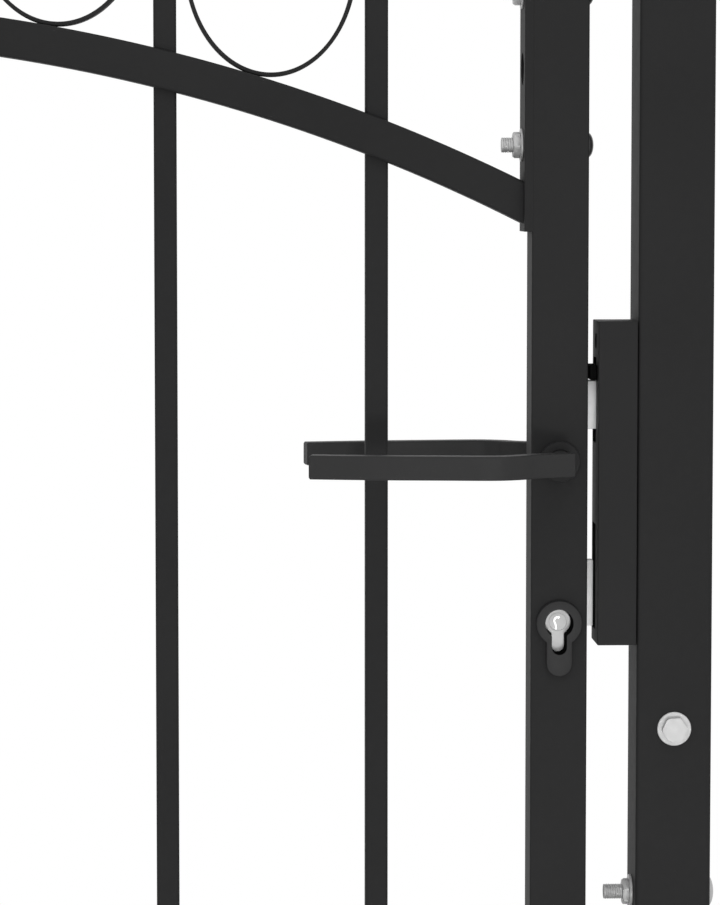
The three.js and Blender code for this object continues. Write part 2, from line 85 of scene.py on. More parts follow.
soft_light("hinge_side_light", (-2.6, -1.6, 2.4), (0, 0, 1.1), 1.6, 11)
soft_light("top_light", (0.6, -1.2, 3.4), (0.3, 0, 1.2), 1.4, 14)
soft_light("street_light", (0.68, -3.8, 0.15), (0.43, 0, 1.0), 0.6, 44)


def floor_paint():
    """Pale matt floor with a faint slow mottle."""
    paint = bpy.data.materials.new("studio_floor")
    paint.use_nodes = True
    tree = paint.node_tree
    shader = tree.nodes["Principled BSDF"]
    place = tree.nodes.new("ShaderNodeTexCoord")
    mottle = tree.nodes.new("ShaderNodeTexNoise")
    mottle.inputs["Scale"].default_value = 1.5
    shade = tree.nodes.new("ShaderNodeValToRGB")
    shade.color_ramp.elements[0].color = (0.90, 0.90, 0.895, 1)
    shade.color_ramp.elements[1].color = (0.93, 0.93, 0.925, 1)
    tree.links.new(place.outputs["Object"], mottle.inputs["Vector"])
    tree.links.new(mottle.outputs["Fac"], shade.inputs["Fac"])
    tree.links.new(shade.outputs["Color"], shader.inputs["Base Color"])
    shader.inputs["Roughness"].default_value = 0.9
    return paint


floor_radius = 5.0
rim_points = 128
turn = np.linspace(0, 2 * pi, rim_points, endpoint=False)
rim = np.column_stack([floor_radius * np.cos(turn), floor_radius * np.sin(turn), np.zeros(rim_points)])
floor_mesh = bpy.data.meshes.new("floor")
floor_mesh.from_pydata(rim.tolist(), [], [list(range(rim_points))])
floor_mesh.materials.append(floor_paint())
floor = bpy.data.objects.new("floor", floor_mesh)
bpy.context.collection.objects.link(floor)

# ---- Lower post lengths -----------------------------------------------------------------------------------
# Square steel tube, 40 mm with rounded edges, powder-coated black. The lowest 0.4 m is set in concrete, and a
# sleeve welded in the top goes up inside the upper length.
post_size = 0.040
post_radius = 0.0022
tube_wall = 0.0015
slide_gap = 0.0003
sleeve_welded = 0.06


def coated(name, shade, roughness, grain, gloss=0.3):
    """Baked coating: a slow drift in shade, a fine orange-peel swell of about a millimetre, and a faint
    unevenness in gloss, all from noise on the object's own coordinates."""
    paint = bpy.data.materials.new(name)
    paint.use_nodes = True
    tree = paint.node_tree
    shader = tree.nodes["Principled BSDF"]
    place = tree.nodes.new("ShaderNodeTexCoord")

    drift = tree.nodes.new("ShaderNodeTexNoise")
    drift.inputs["Scale"].default_value = 6
    drift.inputs["Detail"].default_value = 3
    colour = tree.nodes.new("ShaderNodeValToRGB")
    colour.color_ramp.elements[0].position = 0.3
    colour.color_ramp.elements[0].color = (*(0.88 * value for value in shade), 1)
    colour.color_ramp.elements[1].position = 0.7
    colour.color_ramp.elements[1].color = (*(1.12 * value for value in shade), 1)

    speck = tree.nodes.new("ShaderNodeTexNoise")
    speck.inputs["Scale"].default_value = 260
    speck.inputs["Detail"].default_value = 2
    sheen = tree.nodes.new("ShaderNodeMapRange")
    sheen.inputs["To Min"].default_value = roughness - 0.06
    sheen.inputs["To Max"].default_value = roughness + 0.06

    peel = tree.nodes.new("ShaderNodeTexNoise")
    peel.inputs["Scale"].default_value = 850
    peel.inputs["Detail"].default_value = 1
    swell = tree.nodes.new("ShaderNodeBump")
    swell.inputs["Strength"].default_value = grain
    swell.inputs["Distance"].default_value = 0.0002

    for noise in (drift, speck, peel):
        tree.links.new(place.outputs["Object"], noise.inputs["Vector"])
    tree.links.new(drift.outputs["Fac"], colour.inputs["Fac"])
    tree.links.new(colour.outputs["Color"], shader.inputs["Base Color"])
    tree.links.new(speck.outputs["Fac"], sheen.inputs["Value"])
    tree.links.new(sheen.outputs["Result"], shader.inputs["Roughness"])
    tree.links.new(peel.outputs["Fac"], swell.inputs["Height"])
    tree.links.new(swell.outputs["Normal"], shader.inputs["Normal"])
    shader.inputs["Specular IOR Level"].default_value = gloss
    return paint


powder_coat = coated("powder_coat", (0.0125, 0.0125, 0.0127), 0.64, 0.16, 0.12)


def shade_flat_and_round(mesh, angle=32):
    """Smooth over round stretches, crisp where two faces meet at more than that angle in degrees."""
    mesh.polygons.foreach_set("use_smooth", np.ones(len(mesh.polygons), dtype=bool))
    mesh.set_sharp_from_angle(angle=radians(angle))


def skin(name, shells, paint):
    """A mesh of closed shells. A shell is a grid of points, loops by points on a loop: neighbouring loops are
    joined by quads, and the first and last loops are closed by flat faces. A shell in a tuple with True is
    endless instead: its last loop joins its first."""
    points, faces, start = [], [], 0
    for shell in shells:
        grid, endless = shell if isinstance(shell, tuple) else (shell, False)
        loops, sides = grid.shape[:2]
        index = start + np.arange(loops * sides).reshape(loops, sides)
        rows = np.vstack([index, index[:1]]) if endless else index
        near, far = rows[:-1], rows[1:]
        quads = np.stack([near, np.roll(near, -1, 1), np.roll(far, -1, 1), far], axis=-1)
        faces += quads.reshape(-1, 4).tolist()
        if not endless:
            faces += [index[0, ::-1].tolist(), index[-1].tolist()]
        points.append(grid.reshape(-1, 3))
        start += loops * sides
    mesh = bpy.data.meshes.new(name)
    mesh.from_pydata(np.vstack(points).tolist(), [], faces)
    outward = bmesh.new()
    outward.from_mesh(mesh)
    bmesh.ops.recalc_face_normals(outward, faces=outward.faces)
    outward.to_mesh(mesh)
    outward.free()
    mesh.materials.append(paint)
    shade_flat_and_round(mesh)
    piece = bpy.data.objects.new(name, mesh)
    bpy.context.collection.objects.link(piece)
    return piece


def rounded_rectangle(wide, tall, radius, steps=5):
    """One loop, anticlockwise: four quarter circles at the corners, with a point just inside each flat on
    both sides of every corner, which keeps the flats flat where the shading is smooth."""
    hold = min(0.0004, (min(wide, tall) / 2 - radius) / 2)
    turn = np.linspace(0, pi / 2, steps)
    across = np.concatenate([[radius], radius * np.cos(turn), [-hold]])
    up = np.concatenate([[-hold], radius * np.sin(turn), [radius]])
    centre_x, centre_y = wide / 2 - radius, tall / 2 - radius
    corners = [(across + centre_x, up + centre_y), (-up - centre_x, across + centre_y),
               (-across - centre_x, -up - centre_y), (up + centre_x, -across - centre_y)]
    return np.hstack([np.stack(corner) for corner in corners]).T


def carried(profile, line, across, up):
    """The profile at each point of the line: point + profile x * across + profile y * up. Across and up are
    one direction for the whole line, or one for each of its points."""
    line, across, up = (np.atleast_2d(np.asarray(part, dtype=float)) for part in (line, across, up))
    return line[:, None] + profile[None, :, :1] * across[:, None] + profile[None, :, 1:] * up[:, None]


def upright(profiles, heights, x, y):
    """Level loops on one upright axis: each profile at its height."""
    loops = [carried(profile, (x, y, height), (1, 0, 0), (0, 1, 0))[0]
             for profile, height in zip(profiles, heights)]
    return np.stack(loops)


def square_tube(size, radius, wall, x, y, bottom, top):
    """Outside from bottom to top with eased ends, then the bore back down, as one endless wall."""
    ease = 0.0003
    outside = rounded_rectangle(size, size, radius)
    eased = rounded_rectangle(size - 2 * ease, size - 2 * ease, radius - ease)
    bore = rounded_rectangle(size - 2 * wall, size - 2 * wall, max(radius - wall, 0.0004))
    profiles = [eased, outside, outside, outside, outside, eased, bore, bore]
    heights = [bottom, bottom + ease, bottom + 3 * ease, top - 3 * ease, top - ease, top, top, bottom]
    return upright(profiles, heights, x, y), True


def middle(node):
    """The middle of a node's box."""
    low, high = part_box(node)
    return (np.array(low) + np.array(high)) / 2


def fit(piece, body, slot, *nodes):
    """The piece rides on the body and stands for the nodes, if any, which it hides. The slot is not used."""
    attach(piece, body)
    if nodes:
        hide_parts(*nodes)


upper_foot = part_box("latch_post_upper")[0][2]
splice_z = upper_foot - slide_gap
sleeve_size = post_size - 2 * (tube_wall + slide_gap)
sleeve_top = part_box("latch_post_lower")[1][2]
for end in ("latch", "hinge"):
    post_x = middle(end + "_post_lower")[0]
    length = square_tube(post_size, post_radius, tube_wall, post_x, 0, 0, splice_z)
    sleeve = square_tube(sleeve_size, 0.001, tube_wall, post_x, 0, splice_z - sleeve_welded, sleeve_top)
    lower_post = skin(end + "_post_ground_length", [length, sleeve], powder_coat)
    fit(lower_post, "posts", "powder_coat", end + "_post_lower")

# ---- Upper post lengths -----------------------------------------------------------------------------------
# The same tube, from the splice to the cap. It slides down over the sleeve until the two lengths meet in a
# fine seam, and two bolts through both walls hold it.
post_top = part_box("latch_post_upper")[1][2]
for end in ("latch", "hinge"):
    post_x = middle(end + "_post_upper")[0]
    length = square_tube(post_size, post_radius, tube_wall, post_x, 0, upper_foot, post_top)
    upper_post = skin(end + "_post_top_length", [length], powder_coat)
    fit(upper_post, "posts", "powder_coat", end + "_post_upper")

# ---- Tube caps --------------------------------------------------------------------------------------------
# Moulded black plastic caps with a low crowned top. A tapered plug under each one is pushed into the tube's
# open end, until the lip rests on the rim.


def moulded_plastic(name, shade, roughness, gloss=0.3):
    """Matt plastic with a fine spark-eroded texture and a faint flow mottle."""
    plastic = bpy.data.materials.new(name)
    plastic.use_nodes = True
    tree = plastic.node_tree
    shader = tree.nodes["Principled BSDF"]
    place = tree.nodes.new("ShaderNodeTexCoord")
    flow = tree.nodes.new("ShaderNodeTexNoise")
    flow.inputs["Scale"].default_value = 25
    colour = tree.nodes.new("ShaderNodeValToRGB")
    colour.color_ramp.elements[0].color = (*(0.85 * value for value in shade), 1)
    colour.color_ramp.elements[1].color = (*(1.15 * value for value in shade), 1)
    grain = tree.nodes.new("ShaderNodeTexVoronoi")
    grain.inputs["Scale"].default_value = 1800
    pits = tree.nodes.new("ShaderNodeBump")
    pits.inputs["Strength"].default_value = 0.12
    pits.inputs["Distance"].default_value = 0.0001
    for pattern in (flow, grain):
        tree.links.new(place.outputs["Object"], pattern.inputs["Vector"])
    tree.links.new(flow.outputs["Fac"], colour.inputs["Fac"])
    tree.links.new(colour.outputs["Color"], shader.inputs["Base Color"])
    tree.links.new(grain.outputs["Distance"], pits.inputs["Height"])
    tree.links.new(pits.outputs["Normal"], shader.inputs["Normal"])
    shader.inputs["Roughness"].default_value = roughness
    shader.inputs["Specular IOR Level"].default_value = gloss
    return plastic


cap_plastic = moulded_plastic("cap_plastic", (0.012, 0.012, 0.0125), 0.6)


def cap_shells(size, x, top):
    """A plug below the tube's end, a lip as wide as the tube, and a crown that rises with the square of the
    way in from the edge, as one stack of square loops."""
    plug = size - 2 * (tube_wall + slide_gap)
    lip = size - 0.0008
    inward = np.linspace(0, 0.96, 9)
    widths = np.concatenate([[plug - 0.003, plug, plug, lip, size, size], lip * (1 - inward)])
    heights = np.concatenate([[-0.012, -0.010, 0.0002, 0.0002, 0.0006, 0.0020],
                              0.0024 + 0.0020 * (1 - (1 - inward) ** 2)])
    radii = np.where(widths < plug, 0.12 * widths, post_radius - 0.0001)
    squares = [rounded_rectangle(width, width, radius) for width, radius in zip(widths, radii)]
    return upright(squares, top + heights, x, 0)


stile_size = 0.030
for end in ("latch", "hinge"):
    for tube, size, body in (("post", post_size, "posts"), ("stile", stile_size, "leaf")):
        node = f"{end}_{tube}_cap"
        below = end + ("_post_upper" if tube == "post" else "_stile")
        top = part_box(below)[1][2]
        crown = skin(node + "_moulding", [cap_shells(size, middle(node)[0], top)], cap_plastic)
        fit(crown, body, "cap_plastic", node)

# ---- Splice bolts -----------------------------------------------------------------------------------------
# M8 zinc-plated bolts through the post and its sleeve. The one from the street side has a flanged hexagon
# head; the one from the outer side has a low dome head, and its nut and free thread look at the leaf.
thread_pitch = 0.00125
shank_radius = 0.004
hexagon_across = 0.013


def plated(name, shade, roughness, streak, metallic=0.5):
    """Dull bright plating: partly metal, with fine drawn streaks in its gloss and a cloudy shade."""
    metal = bpy.data.materials.new(name)
    metal.use_nodes = True
    tree = metal.node_tree
    shader = tree.nodes["Principled BSDF"]
    place = tree.nodes.new("ShaderNodeTexCoord")
    cloud = tree.nodes.new("ShaderNodeTexNoise")
    cloud.inputs["Scale"].default_value = 180
    cloud.inputs["Detail"].default_value = 4
    colour = tree.nodes.new("ShaderNodeValToRGB")
    colour.color_ramp.elements[0].position = 0.25
    colour.color_ramp.elements[0].color = (0.9 * shade, 0.9 * shade, 0.9 * shade, 1)
    colour.color_ramp.elements[1].position = 0.75
    colour.color_ramp.elements[1].color = (shade, shade, shade, 1)
    stretch = tree.nodes.new("ShaderNodeMapping")
    stretch.inputs["Scale"].default_value = streak
    drawn = tree.nodes.new("ShaderNodeTexNoise")
    drawn.inputs["Scale"].default_value = 300
    gloss = tree.nodes.new("ShaderNodeMapRange")
    gloss.inputs["To Min"].default_value = roughness - 0.08
    gloss.inputs["To Max"].default_value = roughness + 0.08
    scratch = tree.nodes.new("ShaderNodeBump")
    scratch.inputs["Strength"].default_value = 0.05
    scratch.inputs["Distance"].default_value = 0.0001
    tree.links.new(place.outputs["Object"], cloud.inputs["Vector"])
    tree.links.new(place.outputs["Object"], stretch.inputs["Vector"])
    tree.links.new(stretch.outputs["Vector"], drawn.inputs["Vector"])
    tree.links.new(cloud.outputs["Fac"], colour.inputs["Fac"])
    tree.links.new(colour.outputs["Color"], shader.inputs["Base Color"])
    tree.links.new(drawn.outputs["Fac"], gloss.inputs["Value"])
    tree.links.new(gloss.outputs["Result"], shader.inputs["Roughness"])
    tree.links.new(drawn.outputs["Fac"], scratch.inputs["Height"])
    tree.links.new(scratch.outputs["Normal"], shader.inputs["Normal"])
    shader.inputs["Metallic"].default_value = metallic
    return metal


zinc = plated("zinc", 0.42, 0.50, (1, 1, 1))


def turned(seat, direction, stations, radii, sides=48):
    """A lathe shape: seat + station * direction + radius * (cos t * u + sin t * v), where t goes once round
    and u and v are square to the direction. Radii hold one value for each station, or for each point."""
    direction = np.array(direction, dtype=float)
    u = np.array((0.0, 0.0, 1.0)) if abs(direction[2]) < 0.5 else np.array((1.0, 0.0, 0.0))
    v = np.cross(direction, u)
    angle = np.linspace(0, 2 * pi, sides, endpoint=False)
    round_way = np.cos(angle)[:, None] * u + np.sin(angle)[:, None] * v
    radii = np.broadcast_to(np.atleast_2d(np.asarray(radii, dtype=float).T).T, (len(stations), sides))
    along = np.asarray(stations, dtype=float)[:, None, None] * direction
    return np.array(seat) + along + radii[:, :, None] * round_way


def hexagon_radii(across, turn, limits, sides=48):
    """Distance from the axis to a hexagon's flats, held under one limit for each station, which gives the
    turned chamfer on the corners."""
    angle = np.linspace(0, 2 * pi, sides, endpoint=False) - radians(turn)
    flat = across / 2 / np.cos((angle + pi / 6) % (pi / 3) - pi / 6)
    return np.minimum(flat[None, :], np.asarray(limits)[:, None])


def hexagon(seat, direction, thick, turn, across=hexagon_across, ends=(0.49, 0.49)):
    """A hexagon with its corners turned off at both ends, down to those shares of its width over the
    flats."""
    ease = 0.0007
    stations = [0, ease, thick - ease, thick]
    limits = across * np.array([ends[0], 0.57, 0.57, ends[1]])
    return turned(seat, direction, stations, hexagon_radii(across, turn, limits))


def disc(seat, direction, radius, thick, ease=0.0003):
    """A flat round plate with eased rims."""
    return turned(seat, direction, [0, ease, thick - ease, thick],
                  [radius - ease, radius, radius, radius - ease])


def threaded_end(seat, direction, length):
    """A helix: radius = mean + depth * triangle wave of (station / pitch - t / 2 pi), fading at the tip."""
    sides, rows = 32, int(length / thread_pitch * 8)
    station = np.linspace(0, length, rows)
    turn = np.arange(sides) / sides
    wave = np.abs(((station[:, None] / thread_pitch - turn[None, :]) % 1) * 2 - 1) * 2 - 1
    depth = 0.00016 * np.clip((length - station) / 0.001, 0, 1)
    radii = shank_radius - 0.0001 + depth[:, None] * wave
    radii[-1] -= 0.0005
    return turned(seat, direction, station, radii, sides)


def dome(seat, direction, radius, rise):
    """A cap of an ellipse: radius * cos a across and rise * sin a along, on a short square rim."""
    angle = np.linspace(0, 0.48 * pi, 12)
    stations = np.concatenate([[0], 0.0006 + (rise - 0.0006) * np.sin(angle)])
    return turned(seat, direction, stations, np.concatenate([[radius], radius * np.cos(angle)]))


def nut_set(seat, direction, washer, nut, thread, turn):
    """A washer, a nut, and the free end of the thread. The washer gives its radius and its thickness; the nut
    and the thread give where they start, along the direction from the seat, and their lengths."""
    seat = np.array(seat)
    return [disc(seat, direction, *washer),
            hexagon(seat + direction * nut[0], direction, nut[1], turn),
            threaded_end(seat + direction * thread[0], direction, thread[1])]


half_post = post_size / 2
flange_radius = 0.0090
flange_thick = 0.0014
head_across = 0.0121
for side, end in ((1, "latch"), (-1, "hinge")):
    x, _, z = middle(end + "_post_front_bolt")
    post_x = middle(end + "_post_upper")[0]
    front, rear, street = (post_x, -half_post, z), (post_x, half_post, z), np.array((0, -1, 0))
    head = [disc(front, street, flange_radius, flange_thick),
            hexagon(front + street * 0.0012, street, 0.0034, 5, head_across, (0.57, 0.545))]
    nut = nut_set(rear, -street, (0.0085, 0.0014), (0.0014, 0.0064), (0.0060, 0.0080), 10)
    bolt = skin(end + "_post_front_bolt_set", head + nut, zinc)
    fit(bolt, "posts", "zinc", end + "_post_front_bolt")

    z = middle(end + "_post_side_bolt")[2]
    outward = np.array((side, 0, 0))
    inner, outer = (post_x - side * half_post, 0, z), (post_x + side * half_post, 0, z)
    nut = nut_set(inner, -outward, (0.0090, 0.0016), (0.0014, 0.0036), (0.0045, 0.0105), 20)
    bolt = skin(end + "_post_side_bolt_set", nut + [dome(outer, outward, 0.0086, 0.0042)], zinc)
    fit(bolt, "posts", "zinc", end + "_post_side_bolt")

# ---- Stiles -----------------------------------------------------------------------------------------------
# The leaf's two uprights: 30 mm square tube, powder-coated. The latch stile holds the lock and has a slot in
# its outer face for the forend and keyhole-shaped holes for the cylinder.
stile_radius = 0.0010
stile_low, stile_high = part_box("latch_stile")
lock_x = middle("latch_stile")[0]
cylinder_z = middle("cylinder_plug")[2]
slot_half = 0.0113
keyhole_margin = 0.0018


def ray_lengths(circle, leg_half, drop, sides=240, grow=0.0):
    """How far a keyhole shape reaches in each direction from its circle's centre: the circle all round, and
    under it the straight sides of the leg, then the half circle at the leg's foot."""
    circle, leg_half, drop = circle + grow, leg_half + grow, drop + grow
    from_down = np.linspace(-pi, pi, sides, endpoint=False)
    sine, cosine = np.abs(np.sin(from_down)), np.cos(from_down)
    foot = drop - leg_half
    with np.errstate(divide="ignore"):
        straight = leg_half / sine
    root = np.sqrt(np.maximum(leg_half ** 2 - (foot * sine) ** 2, 0))
    leg = np.where(straight * cosine > foot, foot * cosine + root, straight)
    reach = np.where((cosine > 0) & (circle * sine < leg_half), np.maximum(leg, circle), circle)
    return from_down, reach


def keyhole_loop(shape, y, grow=0.0):
    """The keyhole shape round the cylinder's axis, as one loop at that depth."""
    from_down, reach = ray_lengths(*shape, grow=grow)
    return np.stack([lock_x + reach * np.sin(from_down), np.full_like(reach, y),
                     cylinder_z - reach * np.cos(from_down)], axis=-1)


# The cylinder's circle, half the width of its leg, and how far the leg drops.
cylinder_shape = (0.0069, 0.0034, 0.0160)


def cut_away(piece, shells):
    """Cuts closed shells out of a piece."""
    for number, shell in enumerate(shells):
        tool = skin(f"{piece.name}_tool_{number}", [shell], piece.data.materials[0])
        cut = piece.modifiers.new("cut", "BOOLEAN")
        cut.operation = "DIFFERENCE"
        cut.solver = "EXACT"
        cut.object = tool
        result = bpy.data.meshes.new_from_object(piece.evaluated_get(bpy.context.evaluated_depsgraph_get()))
        piece.modifiers.clear()
        piece.data = result
        bpy.data.objects.remove(tool)
    shade_flat_and_round(piece.data)


def block(low, high, ease):
    """A box with its upright edges rounded and its top and bottom eased by the same amount."""
    low, high = np.array(low, dtype=float), np.array(high, dtype=float)
    wide, deep, _ = high - low
    full = rounded_rectangle(wide, deep, ease, 4)
    eased = rounded_rectangle(wide - 2 * ease, deep - 2 * ease, ease * 0.3, 4)
    third = rounded_rectangle(wide - 0.6 * ease, deep - 0.6 * ease, ease * 0.85, 4)
    heights = [low[2], low[2] + 0.3 * ease, low[2] + ease, low[2] + 1.3 * ease,
               high[2] - 1.3 * ease, high[2] - ease, high[2] - 0.3 * ease, high[2]]
    centre = (low + high) / 2
    return upright([eased, third, full, full, full, full, third, eased], heights, centre[0], centre[1])


for side, end in ((1, "latch"), (-1, "hinge")):
    stile_x = middle(end + "_stile")[0]
    tube = square_tube(stile_size, stile_radius, tube_wall, stile_x, 0, stile_low[2], stile_high[2])
    stile = skin(end + "_stile_tube", [tube], powder_coat)
    if end == "latch":
        forend_low, forend_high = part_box("lock_case")
        slot = block((lock_x + 0.010, -slot_half, forend_low[2] - slide_gap),
                     (lock_x + 0.020, slot_half, forend_high[2] + slide_gap), 0.0004)
        keyholes = np.stack([keyhole_loop(cylinder_shape, y, keyhole_margin) for y in (-0.02, 0.02)])
        cut_away(stile, [slot, keyholes])
    fit(stile, "leaf", "powder_coat", end + "_stile")

# ---- Lower arch -------------------------------------------------------------------------------------------
# A curved 20 mm square tube that stands proud of the bars. The bars go through punched holes in it, and its
# ends are welded to the end plates.
panel_tube = 0.020
panel_radius = 0.0016
plate_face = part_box("arch_end_plate_latch")[0][0]
lower_radius = 0.923
lower_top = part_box("lower_arch")[1][2]
lower_centre = lower_top - panel_tube / 2 - lower_radius


def arch_tube(name, radius, centre, node):
    """A rounded square carried along a circle's arc, with its ends cut upright at the end plates."""
    profile = rounded_rectangle(panel_tube, panel_tube, panel_radius)
    steps = 96
    share = np.linspace(-1, 1, steps)[:, None]
    ring_radius = radius + profile[None, :, 0]
    half_angle = np.arcsin(plate_face / ring_radius)
    angle = share * half_angle
    grid = np.stack([ring_radius * np.sin(angle), np.broadcast_to(-profile[None, :, 1], angle.shape),
                     centre + ring_radius * np.cos(angle)], axis=-1)
    piece = skin(name, [grid], powder_coat)
    fit(piece, "leaf", "powder_coat", node)


arch_tube("lower_arch_tube", lower_radius, lower_centre, "lower_arch")

# ---- Upper arch -------------------------------------------------------------------------------------------
# The same tube bent to a larger circle. It closes the leaf over the rings, and the bars end under it.
upper_radius = 1.0154
upper_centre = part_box("upper_arch")[1][2] - panel_tube / 2 - upper_radius
arch_tube("upper_arch_tube", upper_radius, upper_centre, "upper_arch")

# ---- Bottom rail ------------------------------------------------------------------------------------------
# Straight 20 mm square tube between the lower end plates. The bars stand on it.
rail_z = middle("bottom_rail")[2]
rail_profile = rounded_rectangle(panel_tube, panel_tube, panel_radius)
rail_line = np.array([(-plate_face, 0, rail_z), (plate_face, 0, rail_z)])
rail_grid = carried(rail_profile, rail_line, (0, 1, 0), (0, 0, 1))
rail = skin("bottom_rail_tube", [rail_grid], powder_coat)
fit(rail, "leaf", "powder_coat", "bottom_rail")

# ---- Bars -------------------------------------------------------------------------------------------------
# Seven upright 12 mm square tubes, from the rail up through the lower arch to the underside of the upper one.
bar_size = 0.012
bar_radius = 0.0016
bar_count = 7
bar_in_arch = 0.004
bar_in_rail = 0.001
for number in range(1, bar_count + 1):
    node = f"bar_{number}"
    bar_x = middle(node)[0]
    bar_top = upper_centre + np.sqrt((upper_radius - panel_tube / 2) ** 2 - bar_x ** 2) + bar_in_arch
    profile = rounded_rectangle(bar_size, bar_size, bar_radius)
    grid = upright([profile, profile], [rail_z + panel_tube / 2 - bar_in_rail, bar_top], bar_x, 0)
    bar = skin(node + "_tube", [grid], powder_coat)
    fit(bar, "leaf", "powder_coat", node)

# ---- Rings ------------------------------------------------------------------------------------------------
# Oval rings bent from flat strip, one between each pair of bars, welded to the arch below and the arch above.
ring_half_width = 0.0454
ring_half_height = 0.0590
ring_strip = 0.0022
ring_depth = 0.012
for number in range(1, bar_count):
    node = f"ring_{number}"
    ring_x, _, ring_z = middle(node)
    profile = rounded_rectangle(ring_strip, ring_depth, 0.0005, 3)
    angle = np.linspace(0, 2 * pi, 128, endpoint=False)
    round_way = np.stack([np.cos(angle), np.sin(angle)], axis=-1)
    half_axes = np.array((ring_half_width, ring_half_height)) - ring_strip / 2
    line = np.array((ring_x, ring_z - 0.0002)) + round_way * half_axes
    outward = round_way / half_axes
    outward /= np.linalg.norm(outward, axis=1)[:, None]
    line = np.stack([line[:, 0], np.zeros_like(angle), line[:, 1]], axis=-1)
    across = np.stack([outward[:, 0], np.zeros_like(angle), outward[:, 1]], axis=-1)
    grid = carried(profile, line, across, (0, 1, 0))
    ring = skin(node + "_strip", [(grid, True)], powder_coat)
    fit(ring, "leaf", "powder_coat", node)

# ---- End plates -------------------------------------------------------------------------------------------
# Flat bars welded across the ends of the panel's tubes, two bolts through each. The long ones have a round
# hole as well. A plate runs into its stile's rounded edge, because the coating fills the seam.
plate_thick = 0.0047
plate_hole_radius = 0.0085
hole_z = handle_z + 0.2067
for side, end in ((1, "latch"), (-1, "hinge")):
    for name in ("arch", "rail"):
        node = f"{name}_end_plate_{end}"
        low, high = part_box(node)
        inside, outside = sorted((side * plate_face, side * (plate_face + plate_thick)))
        flat_bar = block((inside, low[1], low[2]), (outside, high[1], high[2]), 0.0003)
        plate = skin(node + "_bar", [flat_bar], powder_coat)
        if name == "arch":
            seat = (side * (plate_face - 0.002), 0, hole_z)
            cut_away(plate, [turned(seat, (side, 0, 0), [0, 0.008], [plate_hole_radius, plate_hole_radius])])
        fit(plate, "leaf", "powder_coat", node)

# ---- Stile bolts ------------------------------------------------------------------------------------------
# M8 bolts that clamp the stiles to the end plates: a black dome head on the outside, and inside a zinc-plated
# washer, a thin nut and the free end of the thread.
stile_face = stile_high[0]
nut_turn = {"latch": 50, "hinge": 23}
black_plating = coated("black_plating", (0.020, 0.020, 0.0203), 0.34, 0.05, 0.5)
for side, end in ((1, "latch"), (-1, "hinge")):
    outward = np.array((side, 0, 0))
    for name in ("arch", "rail"):
        for row in (1, 2):
            node = f"{name}_bolt_{end}_{row}"
            z = middle(node)[2]
            seat = (side * plate_face, 0, z)
            nut = nut_set(seat, -outward, (0.0087, 0.0012), (0.0010, 0.0041), (0.0045, 0.0067), nut_turn[end])
            fit(skin(node + "_nut", nut, zinc), "leaf", "zinc", node)
            head = dome((side * stile_face, 0, z), outward, 0.0066, 0.0037)
            fit(skin(node + "_head", [head], black_plating), "leaf", "powder_coat")

# ---- Hinge brackets ---------------------------------------------------------------------------------------
# Steel plates on the hinge post, each with a welded shelf and an upright pin. The pin's end is turned to a
# cone, so that the leaf's barrel drops over it easily. Two screws hold each plate.
pin_radius = 0.0048
barrel_radius = 0.0080
hinge_x, hinge_y = -0.458, 0.011
bracket_plate = 0.003


def tongue(back, nose, half):
    """A strip's outline: straight from its back to the nose's centre, then a half circle."""
    turn = np.linspace(-pi / 2, pi / 2, 24)
    round_end = np.stack([nose + half * np.cos(turn), half * np.sin(turn)], axis=-1)
    return np.vstack([[(back, -half)], round_end, [(back, half)]])


for level in ("lower", "upper"):
    node = "hinge_bracket_" + level
    low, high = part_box(node)
    shelf_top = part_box("hinge_knuckle_" + level)[0][2] + 0.0047
    plate_high = (low[0] + bracket_plate, hinge_y + 0.008, low[2] + 0.054)
    plate = block(low, plate_high, 0.0006)
    eased = [tongue(low[0] - hinge_x, 0, barrel_radius - trim) for trim in (0.0004, 0, 0, 0.0004)]
    shelf = upright(eased, shelf_top + np.array([-0.0057, -0.0053, -0.0004, 0]), hinge_x, hinge_y)
    pin_length = high[2] - shelf_top + 0.002
    pin = turned((hinge_x, hinge_y, shelf_top - 0.002), (0, 0, 1), [0, pin_length - 0.003, pin_length],
                 [pin_radius, pin_radius, pin_radius * 0.55])
    bracket = skin(node + "_weldment", [plate, shelf, pin], powder_coat)
    fit(bracket, "posts", "powder_coat", node)
    for row, rise in enumerate((0.007, 0.047), start=1):
        seat = (low[0] + bracket_plate, hinge_y - 0.014, low[2] + rise)
        screw = skin(f"{node}_screw_{row}", [dome(seat, (1, 0, 0), 0.0042, 0.0022)], zinc)
        fit(screw, "posts", "zinc")

# ---- Hinge barrels ----------------------------------------------------------------------------------------
# Short lengths of thick tube, open at both ends, which turn on the pins. A web joins each one to a pad that
# is welded on the hinge stile.
bore_radius = pin_radius + 0.0003
for level in ("lower", "upper"):
    node = "hinge_knuckle_" + level
    low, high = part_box(node)
    bottom, top = low[2] + 0.005, high[2] - 0.005
    ease = 0.0005
    ring = turned((hinge_x, hinge_y, bottom), (0, 0, 1),
                  np.array([0, ease, top - bottom - ease, top - bottom, top - bottom, 0]),
                  [barrel_radius - ease, barrel_radius, barrel_radius, barrel_radius - ease,
                   bore_radius, bore_radius])
    web = block((hinge_x + bore_radius + 0.001, hinge_y - 0.003, bottom + 0.0003),
                (high[0] - 0.001, hinge_y + 0.003, top - 0.0003), 0.0003)
    pad = block((high[0] - 0.003, hinge_y - 0.015, low[2]), (high[0], hinge_y + 0.004, high[2]), 0.0005)
    knuckle = skin(node + "_weldment", [(ring, True), web, pad], powder_coat)
    fit(knuckle, "leaf", "powder_coat", node)
